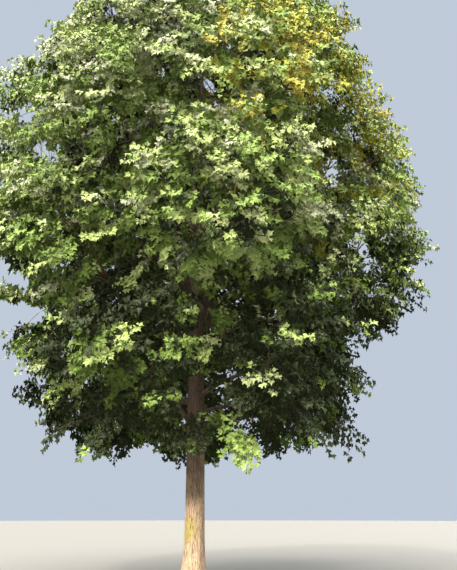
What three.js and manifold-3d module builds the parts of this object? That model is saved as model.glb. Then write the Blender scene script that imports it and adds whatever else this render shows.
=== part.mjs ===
// A maple tree in full summer leaf: a straight trunk with a root flare, the central and three side leaders
// that it forks into, the boughs that trunk and leaders carry, and the masses of leaves that these end in.
// Millimetres and degrees, +Z up. The origin is the centre of the trunk's flat cut at ground level.

import * as THREE from "three";
import { mergeVertices } from "three/addons/utils/BufferGeometryUtils.js";
import Module from "manifold-3d";

// The crown's outline
const TREE_HEIGHT = 20500;
const CROWN_RADIUS = 6700;
const CROWN_FOOT = 2700; // lowest point of the outline
const CROWN_WAIST = 10200; // height where the crown is widest
const UPPER_FULLNESS = 1.5; // power of the outline above the waist: 2 gives an ellipse, 1 a cone
const LOWER_FULLNESS = 2.25; // the same below the waist

// The trunk
const FORK_HEIGHT = 7000;
const FOOT_RADIUS = 255; // of the bole carried down to the ground, without the root flare
const FORK_RADIUS = 208;
const FLARE_DEPTH = 112; // added to the radius at the ground by the root flare
const FLARE_HEIGHT = 340; // height over which the flare falls to about a third
const BUTTRESSES = [ // waves round the flare: how many, the share by which they swell it, and their turn
  { count: 6, swell: 0.42, turn: 0.6 },
  { count: 3, swell: 0.16, turn: -0.9 },
];
const FLARE_LEFT_BIAS = 0.3; // the share by which the flare is stronger on the -X side
const TRUNK_LEAN = -70; // sideways shift of the fork, along X
const DOME_HEIGHT = 120; // of the trunk's rounded top between the leaders
const DOME_SHARE = 0.5; // radius of the dome's flat top, as a share of the trunk's
const TRUNK_SIDES = 16;
const TRUNK_RINGS = 11;
const RING_CROWDING = 1.9; // power that crowds the trunk's rings towards the flare

// The limbs
const BOUGH_SIDES = 7;
const BOUGH_RINGS = 4;
const LEADER_SIDES = 7;
const LEADER_RINGS = 6;
const COLLAR_SWELL = 0.35; // a limb's base is this share thicker than its even taper
const COLLAR_LENGTH = 0.08; // of the limb's length, over which that falls to about a third
const LIMB_SWEEP = 0.07; // how far a limb swings sideways out of its azimuth, as a share of its length
const SOCKET_DEPTH = 620; // how far a limb reaches into the mass that it carries
const FIT_GAP = 0.35; // clearance between a limb and the piece cut to fit round it

// The masses of leaves
const MASS_DETAIL = 2; // subdivision of the 20-sided solid that each mass is shaped from
const MASS_GAP = 90; // open space between the faces of two neighbouring masses
const CORE_SHARE = 0.44; // of a mass's distance from the crown's axis, kept free of leaves
const OUTLINE_ROUNDING = 7; // power that rounds a mass off at the outline: more gives a sharper edge
const OUTLINE_SEARCH = 3; // how far out the outline is looked for, in radii of the mass
const OUTLINE_HALVINGS = 24; // steps of that search
const UNDERSIDE = 0.88; // depth of a mass below its centre, as a share of its height above it
const LUMPS = [ // waves in a mass's surface: share by which it swells and sinks, and radians to one radius
  { depth: 0.13, turns: 4.6 },
  { depth: 0.07, turns: 9.5 },
];
const RADIUS_SCATTER = 0.08; // share by which the masses of a tier differ in radius
const LEVEL_SCATTER = 0.2; // the same in height, as a share of the radius
const TURN_SCATTER = 0.12; // the same in azimuth, as a share of the step between two masses

// Each tier is a ring of like masses round the trunk, from the lowest to the tip of the crown. height is
// of the masses' centres, radius their level reach and tall their upright reach as a share of it. turn is
// the azimuth of the first mass, from +X towards +Y, and span the arc from the first to the last. foot is
// where the limbs start, as a height on the trunk or a share of a leader, leave and arrive are their
// slopes at both ends, and thick the radii there.
const TIERS = [
  { name: "skirt", limb: "bough", count: 5, height: 5000, radius: 2080, tall: 1.0, turn: -42, span: 272,
    foot: [3600, 4500], leave: 22, arrive: 2, thick: [66, 34] },
  { name: "lower", limb: "bough", count: 6, height: 7800, radius: 2350, tall: 0.92, turn: -76, span: 300,
    foot: [4800, 5900], leave: 52, arrive: 14, thick: [84, 38] },
  { name: "middle", limb: "bough", count: 6, height: 11150, radius: 2550, tall: 0.88, turn: -133, span: 300,
    foot: [0.05, 0.17], leave: 58, arrive: 30, thick: [84, 38] },
  { name: "upper", limb: "bough", count: 5, height: 14050, radius: 2400, tall: 0.95, turn: -114, span: 288,
    foot: [0.34, 0.5], leave: 60, arrive: 38, thick: [60, 34] },
  { name: "top", limb: "leader", count: 3, height: 16800, radius: 2200, tall: 0.95, turn: -144, span: 240,
    foot: [6000, 6600], leave: 70, arrive: 82, thick: [116, 46] },
  { name: "tip", limb: "leader", count: 1, height: 18700, radius: 1800, tall: 1.0, turn: 0, span: 0,
    foot: [6700, 6700], leave: 88, arrive: 88, thick: [140, 40] },
];

const WELD_DISTANCE = 1e-3; // below which two points of a geometry are taken as one

const BARK = new THREE.MeshStandardMaterial({ color: 0x8a6a4c, roughness: 0.95, metalness: 0 });
const YOUNG_BARK = new THREE.MeshStandardMaterial({ color: 0x6f6353, roughness: 0.9, metalness: 0 });
const LEAF_GREENS = [0x4d7032, 0x5b7f38, 0x678b40, 0x7a9a4f, 0x869f5c, 0x93a868];

const wasm = await Module();
wasm.setup();

const radians = THREE.MathUtils.degToRad;

// A fixed number from -1 to 1 for each pair of counters, which scatters sizes without a random source.
function scatter(index, kind) {
  const wave = Math.sin(index * 12.9898 + kind * 78.233) * 437.585;
  return 2 * (wave - Math.floor(wave)) - 1;
}

// Radius of the crown's outline at a height, by one super-ellipse above the waist and one below it.
function crownRadius(height) {
  const above = height > CROWN_WAIST;
  const span = above ? TREE_HEIGHT - CROWN_WAIST : CROWN_WAIST - CROWN_FOOT;
  const power = above ? UPPER_FULLNESS : LOWER_FULLNESS;
  const share = Math.min(1, Math.abs(height - CROWN_WAIST) / span);
  return CROWN_RADIUS * (1 - share ** power) ** (1 / power);
}

// A closed geometry as a solid. Only positions are kept, so that shared vertices can be merged.
function solidFrom(geometry) {
  const bare = geometry.clone();
  bare.deleteAttribute("normal");
  bare.deleteAttribute("uv");
  const merged = mergeVertices(bare, WELD_DISTANCE);
  const mesh = new wasm.Mesh({
    numProp: 3,
    vertProperties: new Float32Array(merged.attributes.position.array),
    triVerts: new Uint32Array(merged.index.array),
  });
  return new wasm.Manifold(mesh);
}

// The largest separate body of a solid, which drops the slivers that a cut can leave.
function largestBody(solid) {
  return solid.decompose().reduce((best, body) => (body.volume() > best.volume() ? body : best));
}

function meshFrom(name, solid, material) {
  const { vertProperties, triVerts } = solid.getMesh();
  const geometry = new THREE.BufferGeometry();
  geometry.setAttribute("position", new THREE.BufferAttribute(new Float32Array(vertProperties), 3));
  geometry.setIndex(new THREE.BufferAttribute(new Uint32Array(triVerts), 1));
  geometry.computeVertexNormals();
  const mesh = new THREE.Mesh(geometry, material);
  mesh.name = name;
  return mesh;
}

// Centre of the trunk at a height: it leans evenly, and the lean sets in gently above the ground.
function trunkCentre(height) {
  const share = height / FORK_HEIGHT;
  return new THREE.Vector3(TRUNK_LEAN * share ** 1.5, 0, height);
}

// Radius of the trunk at a height and an angle: an even taper, and at the foot a flare that falls off
// upwards and runs out into buttress roots.
function trunkRadius(height, angle) {
  const bole = THREE.MathUtils.lerp(FOOT_RADIUS, FORK_RADIUS, height / FORK_HEIGHT);
  const flare = FLARE_DEPTH * Math.exp(-height / FLARE_HEIGHT);
  const left = 1 - FLARE_LEFT_BIAS * Math.cos(angle);
  const lobe = ({ count, swell, turn }) => swell * Math.cos(count * angle + turn);
  const lobes = BUTTRESSES.reduce((sum, wave) => sum + lobe(wave), 1);
  return bole + flare * left * lobes;
}

// The trunk is an upright cylinder whose rings are set to the taper and flare. The last ring draws in to
// a low dome, which the leaders stand round.
function trunkSolid(clearance) {
  const geometry = new THREE.CylinderGeometry(1, 1, 1, TRUNK_SIDES, TRUNK_RINGS);
  const position = geometry.attributes.position;
  for (let i = 0; i < position.count; i++) {
    const share = position.getY(i) + 0.5;
    const isTop = share === 1;
    const boleShare = Math.min(1, (share * TRUNK_RINGS) / (TRUNK_RINGS - 1));
    const height = isTop ? FORK_HEIGHT : (FORK_HEIGHT - DOME_HEIGHT) * boleShare ** RING_CROWDING;
    const angle = Math.atan2(-position.getZ(i), position.getX(i));
    const reach = Math.hypot(position.getX(i), position.getZ(i)) * (isTop ? DOME_SHARE : 1);
    const radius = reach * (trunkRadius(height, angle) + clearance);
    const point = trunkCentre(height);
    point.x += radius * Math.cos(angle);
    point.y += radius * Math.sin(angle);
    point.z += isTop ? clearance : 0;
    position.setXYZ(i, point.x, point.y, point.z);
  }
  return solidFrom(geometry);
}

// A limb's radius at a share of its length: an even taper with a collar at the base.
function limbRadius(limb, share) {
  const even = THREE.MathUtils.lerp(limb.thick[0], limb.thick[1], share);
  return even * (1 + COLLAR_SWELL * Math.exp(-share / COLLAR_LENGTH));
}

// A limb is a cylinder whose rings are carried along its curve, square to it. The curve never runs along
// its own level side, so the rings don't twist. A clearance is added all round and at both ends.
function limbSolid(limb, clearance) {
  const sides = limb.isLeader ? LEADER_SIDES : BOUGH_SIDES;
  const rings = limb.isLeader ? LEADER_RINGS : BOUGH_RINGS;
  const geometry = new THREE.CylinderGeometry(1, 1, 1, sides, rings);
  const position = geometry.attributes.position;
  for (let i = 0; i < position.count; i++) {
    const share = position.getY(i) + 0.5;
    const centre = limb.curve.getPoint(share);
    const along = limb.curve.getTangent(share);
    const side = limb.side.clone().addScaledVector(along, -limb.side.dot(along)).normalize();
    const over = side.clone().cross(along);
    const radius = limbRadius(limb, share) + clearance;
    centre.addScaledVector(side, position.getX(i) * radius);
    centre.addScaledVector(over, position.getZ(i) * radius);
    centre.addScaledVector(along, Math.trunc(2 * share - 1) * clearance);
    position.setXYZ(i, centre.x, centre.y, centre.z);
  }
  return solidFrom(geometry);
}

// The curve of a limb between two points, leaving and arriving at the given slopes. It swings a little to
// one side after its foot and to one side before its end, as two numbers from -1 to 1 say.
function limbCurve(start, end, leave, arrive, swings) {
  const level = new THREE.Vector3(end.x - start.x, end.y - start.y, 0).normalize();
  const side = new THREE.Vector3(-level.y, level.x, 0);
  const span = start.distanceTo(end);
  const control = (from, slope, reach, swing) => {
    const point = from.clone().addScaledVector(level, Math.cos(radians(slope)) * reach);
    point.z += Math.sin(radians(slope)) * reach;
    return point.addScaledVector(side, LIMB_SWEEP * span * swing);
  };
  const leaving = control(start, leave, span / 3, swings[0]);
  const arriving = control(end, arrive, -span / 3, swings[1]);
  return { curve: new THREE.CubicBezierCurve3(start, leaving, arriving, end), side };
}

// The centres and sizes of all masses, tier by tier. A single mass stands on the crown's axis.
const masses = [];
TIERS.forEach((tier, tierIndex) => {
  const step = tier.span / Math.max(1, tier.count - 1);
  const ring = tier.count > 1 ? 1 : 0;
  for (let place = 0; place < tier.count; place++) {
    const index = masses.length + 1;
    const azimuth = radians(tier.turn + step * (place + ring * TURN_SCATTER * scatter(index, 1)));
    const radius = tier.radius * (1 + ring * RADIUS_SCATTER * scatter(index, 2));
    const height = tier.height + ring * LEVEL_SCATTER * radius * scatter(index, 3);
    const out = ring * (crownRadius(height) - radius);
    const centre = new THREE.Vector3(out * Math.cos(azimuth), out * Math.sin(azimuth), height);
    masses.push({ tier, tierIndex, place, index, azimuth, radius, out, centre });
  }
});

// How far the crown's outline is from a mass's centre in a direction, found by halving.
function outlineReach(mass, direction) {
  let inside = 0;
  let outside = OUTLINE_SEARCH * mass.radius;
  for (let step = 0; step < OUTLINE_HALVINGS; step++) {
    const reach = (inside + outside) / 2;
    const point = mass.centre.clone().addScaledVector(direction, reach);
    if (Math.hypot(point.x, point.y) < crownRadius(point.z)) inside = reach;
    else outside = reach;
  }
  return inside;
}

// Waves over a mass's surface, from about -1 to 1: two crossed pairs of sines, shifted for each mass.
function waves(mass, direction, turns) {
  const wave = (value, kind) => Math.sin(turns * value + Math.PI * scatter(mass.index, kind));
  const level = wave(direction.x, 5) * wave(direction.y, 6);
  return level + wave(direction.z - direction.x, 7) * wave(direction.z + direction.y, 8);
}

// How far a mass reaches from its centre in a direction: an ellipsoid rounded off at the crown's outline,
// with lumps, stopped short of the crown's axis and of the plane that shares the space with each neighbour
// in keeping with their radii.
function massReach(mass, direction) {
  const level = Math.hypot(direction.x, direction.y) / mass.radius;
  const upright = direction.z / (mass.radius * mass.tier.tall * (direction.z < 0 ? UNDERSIDE : 1));
  const ellipsoid = 1 / Math.hypot(level, upright);
  const outline = outlineReach(mass, direction);
  const power = -OUTLINE_ROUNDING;
  const rounded = (ellipsoid ** power + outline ** power) ** (1 / power);
  const swell = LUMPS.reduce((sum, lump) => sum + lump.depth * waves(mass, direction, lump.turns), 1);
  let reach = rounded * swell;
  const inward = -Math.cos(mass.azimuth) * direction.x - Math.sin(mass.azimuth) * direction.y;
  if (mass.out > 0 && inward > 0) reach = Math.min(reach, ((1 - CORE_SHARE) * mass.out) / inward);
  for (const other of masses) {
    if (other === mass) continue;
    const apart = other.centre.clone().sub(mass.centre);
    const distance = apart.length();
    const plane = (distance ** 2 + mass.radius ** 2 - other.radius ** 2) / (2 * distance) - MASS_GAP / 2;
    const facing = apart.dot(direction) / distance;
    if (facing > 0) reach = Math.min(reach, plane / facing);
  }
  return reach;
}

// The limbs. Leaders and the boughs of the two lowest tiers grow from the trunk, and the other boughs
// from the leader nearest to them in azimuth. Each ends in the mass that it carries, on the line from its
// foot to the mass's centre.
const limbs = [];
function addLimb(mass) {
  const { leave, arrive, thick, foot, limb } = mass.tier;
  const [low, high] = foot;
  const level = THREE.MathUtils.lerp(low, high, 0.5 + 0.5 * scatter(mass.index, 4));
  const start = level > 1 ? trunkCentre(level) : nearestLeader(mass).curve.getPoint(level);
  const back = start.clone().sub(mass.centre).normalize();
  const end = mass.centre.clone().addScaledVector(back, massReach(mass, back) - SOCKET_DEPTH);
  const name = `${limb}_${mass.tier.name}_${mass.place + 1}`;
  const swings = [scatter(mass.index, 9), scatter(mass.index, 10)];
  const path = limbCurve(start, end, leave, arrive, swings);
  limbs.push({ name, mass, thick, isLeader: limb === "leader", ...path });
}

function nearestLeader(mass) {
  const level = (leader) => Math.cos(leader.mass.azimuth - mass.azimuth);
  const sideLeaders = limbs.filter((limb) => limb.mass.tier.name === "top");
  return sideLeaders.reduce((best, leader) => (level(leader) > level(best) ? leader : best));
}

masses.filter((mass) => mass.tier.limb === "leader").reverse().forEach(addLimb);
masses.filter((mass) => mass.tier.limb === "bough").forEach(addLimb);

function massSolid(mass) {
  const geometry = new THREE.IcosahedronGeometry(1, MASS_DETAIL);
  const position = geometry.attributes.position;
  const direction = new THREE.Vector3();
  for (let i = 0; i < position.count; i++) {
    direction.fromBufferAttribute(position, i).normalize();
    const point = mass.centre.clone().addScaledVector(direction, massReach(mass, direction));
    position.setXYZ(i, point.x, point.y, Math.min(point.z, TREE_HEIGHT));
  }
  return solidFrom(geometry);
}

// The whole tree: each limb is cut to fit what was placed before it, and each mass to fit every limb.
const tree = new THREE.Group();
tree.add(meshFrom("trunk", trunkSolid(0), BARK));
let wood = trunkSolid(FIT_GAP);
for (const limb of limbs) {
  tree.add(meshFrom(limb.name, largestBody(limbSolid(limb, 0).subtract(wood)), YOUNG_BARK));
  wood = wood.add(limbSolid(limb, FIT_GAP));
}
for (const mass of masses) {
  const leaves = new THREE.MeshStandardMaterial({
    color: LEAF_GREENS[mass.tierIndex],
    roughness: 0.8,
    metalness: 0,
  });
  const name = `foliage_${mass.tier.name}_${mass.place + 1}`;
  tree.add(meshFrom(name, largestBody(massSolid(mass).subtract(wood)), leaves));
}

export default tree;
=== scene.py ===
# A maple tree in full summer leaf: the furrowed trunk, the leaders and boughs that it carries, and in place
# of each mass of leaves the branches, twigs and leaves that grow on from them. Metres, +Z up, with the
# origin at the centre of the trunk's flat cut at ground level.

import math

import bpy
import numpy as np
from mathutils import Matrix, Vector
from mathutils.bvhtree import BVHTree


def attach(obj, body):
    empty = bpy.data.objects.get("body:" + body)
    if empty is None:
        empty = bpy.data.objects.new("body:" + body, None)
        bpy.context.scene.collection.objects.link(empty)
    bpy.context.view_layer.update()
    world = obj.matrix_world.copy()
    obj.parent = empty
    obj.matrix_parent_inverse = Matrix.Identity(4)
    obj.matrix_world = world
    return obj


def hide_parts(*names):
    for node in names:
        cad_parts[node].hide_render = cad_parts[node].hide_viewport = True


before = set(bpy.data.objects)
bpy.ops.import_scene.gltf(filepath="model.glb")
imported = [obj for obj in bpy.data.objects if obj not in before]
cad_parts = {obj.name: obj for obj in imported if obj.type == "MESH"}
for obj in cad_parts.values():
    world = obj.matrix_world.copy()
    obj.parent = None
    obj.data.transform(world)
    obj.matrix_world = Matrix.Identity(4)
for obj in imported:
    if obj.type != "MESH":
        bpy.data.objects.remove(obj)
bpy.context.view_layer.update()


# Viewpoint
# The tree is seen from eye level, 16 m in front of the trunk, with the camera tipped up, so that the crown
# fills the frame and is cut off by its upper edge.
EYE = np.array([0.0, -16.0, 1.6])
TILT = math.radians(21.1)  # above the horizon
YAW = math.radians(3.0)  # to the right of +Y
FRAME_WIDTH = 457
FRAME_HEIGHT = 570
FOCAL_LENGTH = 593.0  # in pixels of that frame

camera = bpy.data.cameras.new("viewpoint")
camera.sensor_width = 36.0  # of the frame's long side
camera.lens = FOCAL_LENGTH / FRAME_HEIGHT * camera.sensor_width
camera.clip_end = 500.0
viewpoint = bpy.data.objects.new("viewpoint", camera)
viewpoint.location = EYE
viewpoint.rotation_euler = (math.pi / 2 + TILT, 0.0, -YAW)
bpy.context.scene.collection.objects.link(viewpoint)
bpy.context.scene.camera = viewpoint


# Trunk
# One straight maple bole, 7 m from the ground to the fork, with a root flare that runs out into six
# buttresses. Its bark has split into long lens-shaped plates with furrows between them.
FORK_HEIGHT = 7.0
FOOT_RADIUS = 0.255
FORK_RADIUS = 0.208
TRUNK_LEAN = -0.070
FLARE_DEPTH = 0.112
FLARE_HEIGHT = 0.340
FLARE_LEFT_BIAS = 0.3
BUTTRESSES = [(6, 0.42, 0.6), (3, 0.16, -0.9)]  # waves round the foot, their share of the flare and turn
DOME_HEIGHT = 0.120  # of the rounded top between the leaders
DOME_SHARE = 0.5
TRUNK_SIDES = 132
TRUNK_RINGS = 460
PLATE_WIDTH = 0.046  # of one bark plate
PLATE_LENGTH = 0.30
FURROW_DEPTH = 0.013
FURROW_FADE = 0.5  # share by which the furrows are shallower at the fork
FURROW_WAVES = [(2, 0.55), (5, 0.38), (11, 0.16)]  # waves round a limb in a furrow, and their size in rows
FURROW_DRIFTS = np.array([1.3, -2.9, 7.7])  # radians that each wave turns by over a plate's length
FURROW_SIDE = 0.5  # share of the sine that is a furrow's side; the rest is flat plate
FURROW_ROUNDING = 0.8
TRUNK_SEED = 3
STREAK_WIDTH = 0.035  # of the colour's streaks along the bark
STREAK_SLOWNESS = 0.12  # of the streaks upwards, which makes them 8 times as long as wide
PATCH_SIZE = 0.45  # of weathered patches, and of the noise that frays the edge of the painted shade
CORK_GRAIN = 0.008
ALGAE_PLACE = (-0.21, -0.14, 1.25)
ALGAE_GRAIN = 0.05
ALGAE_REACH = (0.4, 0.62)  # distances from there over which they thin out, less half of the noise
ALGAE_COVER = 0.75
PAINTED_SHADE_HEIGHTS = (2.9, 4.3)  # where the painted shade sets in and is full, less the drop times the patches' noise
PAINTED_SHADE_DROP = 2.4
PAINTED_SHADE_COVER = 0.85


def trunk_centre(height):
    """Centre of the trunk: a lean that grows with the power 1.5 of the height."""
    share = np.asarray(height) / FORK_HEIGHT
    return np.stack([TRUNK_LEAN * share**1.5, 0 * share, np.asarray(height) + 0.0], -1)


def trunk_radius(height, angle):
    """Even taper from foot to fork, plus a flare that falls off upwards and swells at each buttress."""
    bole = FOOT_RADIUS + (FORK_RADIUS - FOOT_RADIUS) * height / FORK_HEIGHT
    flare = FLARE_DEPTH * np.exp(-height / FLARE_HEIGHT)
    lobes = 1 + sum(share * np.cos(count * angle + turn) for count, share, turn in BUTTRESSES)
    return bole + flare * (1 - FLARE_LEFT_BIAS * np.cos(angle)) * lobes


def bark_plates(rows, angle, length, plate_length, seed):
    """Bark relief from 0 in a furrow to 1 on a plate. Two sets of furrows wind round the limb in opposite
    senses and wander. Each is the absolute sine of the row number, which is rows times the angle, plus or
    minus the length over the plate length, plus slow waves; the lower of the two counts."""
    shifts = np.random.default_rng(seed).uniform(0, 2 * np.pi, (2, 3))
    turns = rows * angle / (2 * np.pi)
    plates = length / plate_length
    relief = []
    for sense, own_shifts in zip((1, -1), shifts):
        row = turns + sense * 0.5 * plates
        drifts = FURROW_DRIFTS * (sense, 1, 1)
        for (count, size), drift, shift in zip(FURROW_WAVES, drifts, own_shifts):
            row = row + size * np.sin(count * angle + drift * plates + shift)
        relief.append(np.abs(np.sin(np.pi * row)))
    return np.clip(np.minimum(*relief) / FURROW_SIDE, 0, 1) ** FURROW_ROUNDING


def closed_tube_faces(rings, sides):
    """Triangles of a closed tube. Point 0 is the pole at its foot, then come the rings, and the last point
    is the pole at its tip: a fan at either pole, and two triangles for each cell between two rings."""
    ring = np.arange(sides)
    following = (ring + 1) % sides
    start = 1 + np.arange(rings - 1)[:, None] * sides
    near, far = start + ring, start + following
    lower = np.stack([near, far, far + sides], -1).reshape(-1, 3)
    upper = np.stack([near, far + sides, near + sides], -1).reshape(-1, 3)
    last = 1 + (rings - 1) * sides
    foot = np.stack([0 * ring, 1 + following, 1 + ring], -1)
    tip = np.stack([last + ring, last + following, 0 * ring + last + sides], -1)
    return np.concatenate([foot, lower, upper, tip])


def solid_piece(name, points, faces, materials, smooth=True):
    """An object at the origin, whose mesh is put in from whole arrays of points and triangles."""
    mesh = bpy.data.meshes.new(name)
    mesh.vertices.add(len(points))
    mesh.vertices.foreach_set("co", np.asarray(points, np.float32).ravel())
    mesh.loops.add(faces.size)
    mesh.loops.foreach_set("vertex_index", np.asarray(faces, np.int32).ravel())
    mesh.polygons.add(len(faces))
    mesh.polygons.foreach_set("loop_start", np.arange(0, faces.size, 3, dtype=np.int32))
    for material in materials:
        mesh.materials.append(material)
    mesh.polygons.foreach_set("use_smooth", np.full(len(faces), smooth))
    mesh.update(calc_edges=True)
    piece = bpy.data.objects.new(name, mesh)
    bpy.context.scene.collection.objects.link(piece)
    return piece


def add_relief(piece, relief):
    """Writes the relief of the rings' points, and 1 at the poles, into the mesh for the bark's material."""
    attribute = piece.data.attributes.new("relief", "FLOAT", "POINT")
    attribute.data.foreach_set("value", np.pad(relief.ravel(), 1, constant_values=1).astype(np.float32))


def linear(code):
    """An sRGB hex value as linear red, green, blue and full alpha."""
    parts = [int(code[i : i + 2], 16) / 255 for i in (1, 3, 5)]
    return [p / 12.92 if p <= 0.04045 else ((p + 0.055) / 1.055) ** 2.4 for p in parts] + [1.0]


def add_node(tree, kind, settings=(), stops=(), **inputs):
    """Adds a node of a kind to a node tree. settings are its own attributes, and stops the positions and
    sRGB hex values of a colour ramp; an input is given by its name with _ for a space, or by i and its
    number, and takes a value or another node's output."""
    node = tree.nodes.new(kind)
    for key, value in dict(settings).items():
        setattr(node, key, value)
    for place, (position, code) in enumerate(stops):
        elements = node.color_ramp.elements
        element = elements[place] if place < 2 else elements.new(position)
        element.position = position
        element.color = linear(code)
    for key, value in inputs.items():
        numbered = key[0] == "i" and key[1:].isdigit()
        socket = node.inputs[int(key[1:]) if numbered else key.replace("_", " ")]
        if isinstance(value, bpy.types.NodeSocket):
            tree.links.new(value, socket)
        else:
            socket.default_value = value
    return node


def new_material(name, base="#808080", roughness=0.5):
    """A material with one Principled shader, and that shader's node tree and node."""
    material = bpy.data.materials.new(name)
    material.use_nodes = True
    shader = material.node_tree.nodes["Principled BSDF"]
    shader.inputs["Base Color"].default_value = linear(base)
    shader.inputs["Roughness"].default_value = roughness
    return material, material.node_tree, shader


def furrowed_bark():
    """Old maple bark, dry and corky: warm tan plates that weather grey-brown in long streaks, dark brown
    furrows, and on the left flank a yellow-green dusting of algae. It looks matt and coarse. From about
    2 m up it is painted dark, as the shade that the crown casts on the trunk."""
    material, tree, shader = new_material("furrowed maple bark", roughness=0.9)
    place = add_node(tree, "ShaderNodeTexCoord").outputs["Object"]
    relief = add_node(tree, "ShaderNodeAttribute", {"attribute_name": "relief"}).outputs["Fac"]
    upright = add_node(tree, "ShaderNodeMapping", Vector=place, Scale=(1, 1, STREAK_SLOWNESS)).outputs[0]
    streaks = add_node(tree, "ShaderNodeTexNoise", Vector=upright, Scale=1 / STREAK_WIDTH, Detail=5.0)
    patches = add_node(tree, "ShaderNodeTexNoise", Vector=place, Scale=1 / PATCH_SIZE, Detail=3.0)
    plates = add_node(tree, "ShaderNodeValToRGB", Fac=streaks.outputs["Fac"],
                      stops=[(0.3, "#8f7863"), (0.5, "#c2a588"), (0.72, "#dac6a9")]).outputs[0]
    weathered = add_node(tree, "ShaderNodeValToRGB", Fac=streaks.outputs["Fac"],
                         stops=[(0.3, "#7a6755"), (0.7, "#bda88f")]).outputs[0]
    bark = add_node(tree, "ShaderNodeMix", {"data_type": "RGBA"},
                    i0=patches.outputs["Fac"], i6=plates, i7=weathered).outputs[2]
    flank = add_node(tree, "ShaderNodeVectorMath", {"operation": "DISTANCE"},
                     i0=place, i1=ALGAE_PLACE).outputs["Value"]
    speckle = add_node(tree, "ShaderNodeTexNoise", Vector=place, Scale=1 / ALGAE_GRAIN, Detail=4.0)
    reach = add_node(tree, "ShaderNodeMath", {"operation": "MULTIPLY_ADD"},
                     i0=speckle.outputs["Fac"], i1=0.5, i2=flank).outputs[0]
    algae = add_node(tree, "ShaderNodeMapRange", Value=reach,
                     i1=ALGAE_REACH[0], i2=ALGAE_REACH[1], i3=ALGAE_COVER, i4=0.0).outputs[0]
    greened = add_node(tree, "ShaderNodeMix", {"data_type": "RGBA"},
                       i0=algae, i6=bark, i7=linear("#a39a45")).outputs[2]
    # Painted shade: from about 2 m up the bark is darkened, with an edge frayed by the patches' noise, as the
    # crown's shade on the trunk.
    height = add_node(tree, "ShaderNodeSeparateXYZ", Vector=place).outputs["Z"]
    painted_shade_edge = add_node(tree, "ShaderNodeMath", {"operation": "MULTIPLY_ADD"},
                         i0=patches.outputs["Fac"], i1=PAINTED_SHADE_DROP, i2=height).outputs[0]
    painted_upper_shade = add_node(tree, "ShaderNodeMapRange", Value=painted_shade_edge,
                    i1=PAINTED_SHADE_HEIGHTS[0], i2=PAINTED_SHADE_HEIGHTS[1], i3=0.0, i4=PAINTED_SHADE_COVER).outputs[0]
    shade_painted = add_node(tree, "ShaderNodeMix", {"data_type": "RGBA"},
                       i0=painted_upper_shade, i6=greened, i7=linear("#352a1f")).outputs[2]
    depth = add_node(tree, "ShaderNodeMapRange", Value=relief, i1=0.0, i2=0.8, i3=0.0, i4=1.0).outputs[0]
    shown = add_node(tree, "ShaderNodeMix", {"data_type": "RGBA"},
                     i0=depth, i6=linear("#2b2018"), i7=shade_painted).outputs[2]
    cork = add_node(tree, "ShaderNodeTexNoise",
                    Vector=upright, Scale=1 / CORK_GRAIN, Detail=6.0, Roughness=0.65)
    bump = add_node(tree, "ShaderNodeBump", Height=cork.outputs["Fac"], Strength=0.8, Distance=0.004)
    tree.links.new(shown, shader.inputs["Base Color"])
    tree.links.new(bump.outputs[0], shader.inputs["Normal"])
    return material


def build_trunk():
    """Rings of points round the leaning centre line. The radius is the taper and flare less the furrows,
    which grow shallower upwards, and the last rings draw in to the rounded top."""
    angle = np.arange(TRUNK_SIDES) * 2 * np.pi / TRUNK_SIDES
    share = np.linspace(0, 1, TRUNK_RINGS)[:, None]
    height = FORK_HEIGHT * share
    rows = round(2 * np.pi * FOOT_RADIUS / PLATE_WIDTH)
    relief = bark_plates(rows, angle, height, PLATE_LENGTH, TRUNK_SEED)
    depth = FURROW_DEPTH * (1 - FURROW_FADE * share)
    dome = np.clip((height - FORK_HEIGHT + DOME_HEIGHT) / DOME_HEIGHT, 0, 1)
    draw_in = 1 - (1 - DOME_SHARE) * dome**2
    radius = (trunk_radius(height, angle) - depth * (1 - relief)) * draw_in
    centre = trunk_centre(np.broadcast_to(height, radius.shape))
    outward = np.stack([np.cos(angle), np.sin(angle), 0 * angle], -1)
    rings = centre + radius[..., None] * outward
    poles = trunk_centre(np.array([0.0, FORK_HEIGHT]))
    points = np.concatenate([poles[:1], rings.reshape(-1, 3), poles[1:]])
    faces = closed_tube_faces(TRUNK_RINGS, TRUNK_SIDES)
    piece = solid_piece("trunk_bark", points, faces, [furrowed_bark()])
    add_relief(piece, relief)
    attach(piece, "root")
    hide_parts("trunk")


build_trunk()


# Leaders and boughs
# The trunk forks into one central and three side leaders. Boughs leave the trunk and the side leaders with
# a collar at their foot, sweep outwards and end inside the mass of leaves that each one carries.
TREE_HEIGHT = 20.5
CROWN_RADIUS = 6.7
CROWN_FOOT = 2.7
CROWN_WAIST = 10.2
UPPER_FULLNESS = 1.5
LOWER_FULLNESS = 2.25
TURN_SCATTER = 0.12  # of a tier's step between masses
RADIUS_SCATTER = 0.08  # of a mass's radius
HEIGHT_SCATTER = 0.2  # the same
COLLAR_SWELL = 0.35
COLLAR_LENGTH = 0.08
LIMB_SWEEP = 0.07
LIMB_SIDES = {"leader": 36, "bough": 24}
LIMB_RINGS = {"leader": 0.034, "bough": 0.031}  # distance between two rings of points
LIMB_PLATE_WIDTH = 0.036
LIMB_PLATE_LENGTH = 0.22
LIMB_FURROWS = 0.055  # depth as a share of the limb's radius
LIMB_SEED = 40
LIMB_PATCH_SIZE = 0.12
SKIN_GRAIN = 0.006
UP = np.array([0.0, 0.0, 1.0])
TIER_COLUMNS = ["name", "limb", "count", "height", "radius", "turn", "span", "foot", "leave", "arrive",
                "thick"]
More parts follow.
